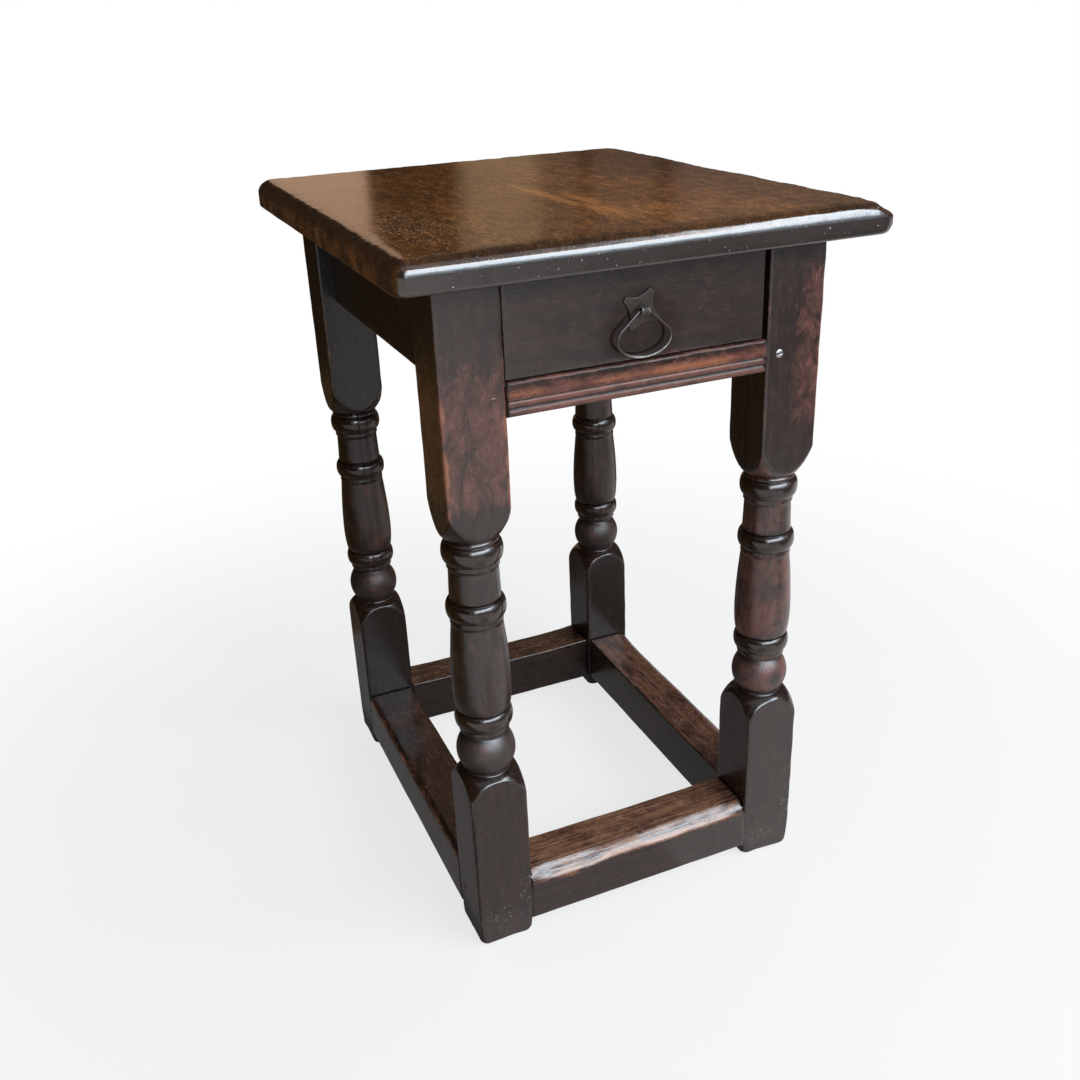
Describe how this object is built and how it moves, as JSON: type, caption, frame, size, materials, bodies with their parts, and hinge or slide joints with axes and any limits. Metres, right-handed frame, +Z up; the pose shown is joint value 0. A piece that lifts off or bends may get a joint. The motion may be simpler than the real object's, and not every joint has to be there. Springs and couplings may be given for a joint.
{
  "type": "side table",
  "caption": "Joined dark oak side table with turned legs, a low box stretcher and a drawer with an iron drop handle, under an overhanging top board.",
  "frame": {"origin": "on the floor, under the middle of the frame and of the top board", "axes": "+Z up, +X to the right of someone facing the drawer, the drawer front faces -Y"},
  "size_m": [0.385, 0.455, 0.6096],
  "materials": {
    "frame_oak": "dark waxed oak, worn reddish on the arrises",
    "top_oak": "waxed oak, glossy",
    "front_oak": "dark waxed oak",
    "lining_oak": "dry, unpolished oak",
    "peg_oak": "dark oak end grain",
    "iron": "black forged iron, rubbed bright on the edges",
    "steel": "dull steel"
  },
  "bodies": {
    "frame": {"top_board": "top_oak", "leg_front_left": "frame_oak", "leg_front_right": "frame_oak", "leg_back_left": "frame_oak", "leg_back_right": "frame_oak", "rail_left": "frame_oak", "rail_right": "frame_oak", "rail_back": "frame_oak", "drawer_rail": "frame_oak", "stretcher_front": "frame_oak", "stretcher_back": "frame_oak", "stretcher_left": "frame_oak", "stretcher_right": "frame_oak", "peg_drawer_rail_front_left": "peg_oak", "peg_rail_back_back_left": "peg_oak", "peg_rail_left_front_left": "peg_oak", "peg_stretcher_left_front_left": "peg_oak", "peg_stretcher_front_front_left": "peg_oak", "peg_rail_left_back_left": "peg_oak", "peg_stretcher_left_back_left": "peg_oak", "peg_stretcher_back_back_left": "peg_oak", "peg_rail_back_back_right": "peg_oak", "peg_rail_right_front_right": "peg_oak", "peg_stretcher_right_front_right": "peg_oak", "peg_stretcher_front_front_right": "peg_oak", "peg_rail_right_back_right": "peg_oak", "peg_stretcher_right_back_right": "peg_oak", "peg_stretcher_back_back_right": "peg_oak", "rail_screw": "steel", "runner_left": "lining_oak", "runner_right": "lining_oak", "guide_left": "lining_oak", "guide_right": "lining_oak", "drawer_stop_left": "lining_oak", "drawer_stop_right": "lining_oak", "glue_block_left_front": "lining_oak", "glue_block_left_back": "lining_oak", "glue_block_right_front": "lining_oak", "glue_block_right_back": "lining_oak", "glue_block_back_left": "lining_oak", "glue_block_back_right": "lining_oak"},
    "drawer": {"drawer_front": "front_oak", "drawer_side_left": "lining_oak", "drawer_side_right": "lining_oak", "drawer_back": "lining_oak", "drawer_bottom": "lining_oak", "nail_left_front_low": "iron", "nail_left_front_high": "iron", "nail_left_back_low": "iron", "nail_left_back_high": "iron", "nail_right_front_low": "iron", "nail_right_front_high": "iron", "nail_right_back_low": "iron", "nail_right_back_high": "iron", "handle_plate": "iron", "handle_eye": "iron"},
    "drop": {"handle_drop": "iron"}
  },
  "joints": [
    {"name": "drawer_slide", "type": "slide", "parent": "frame", "child": "drawer", "axis": [0, -1, 0], "range_m": [0, 0.24]},
    {"name": "drop_swing", "type": "hinge", "parent": "drawer", "child": "drop", "pos_m": [-0.0012, -0.1993, 0.5475], "axis": [-1, 0, 0], "range_deg": [-5, 170]}
  ]
}
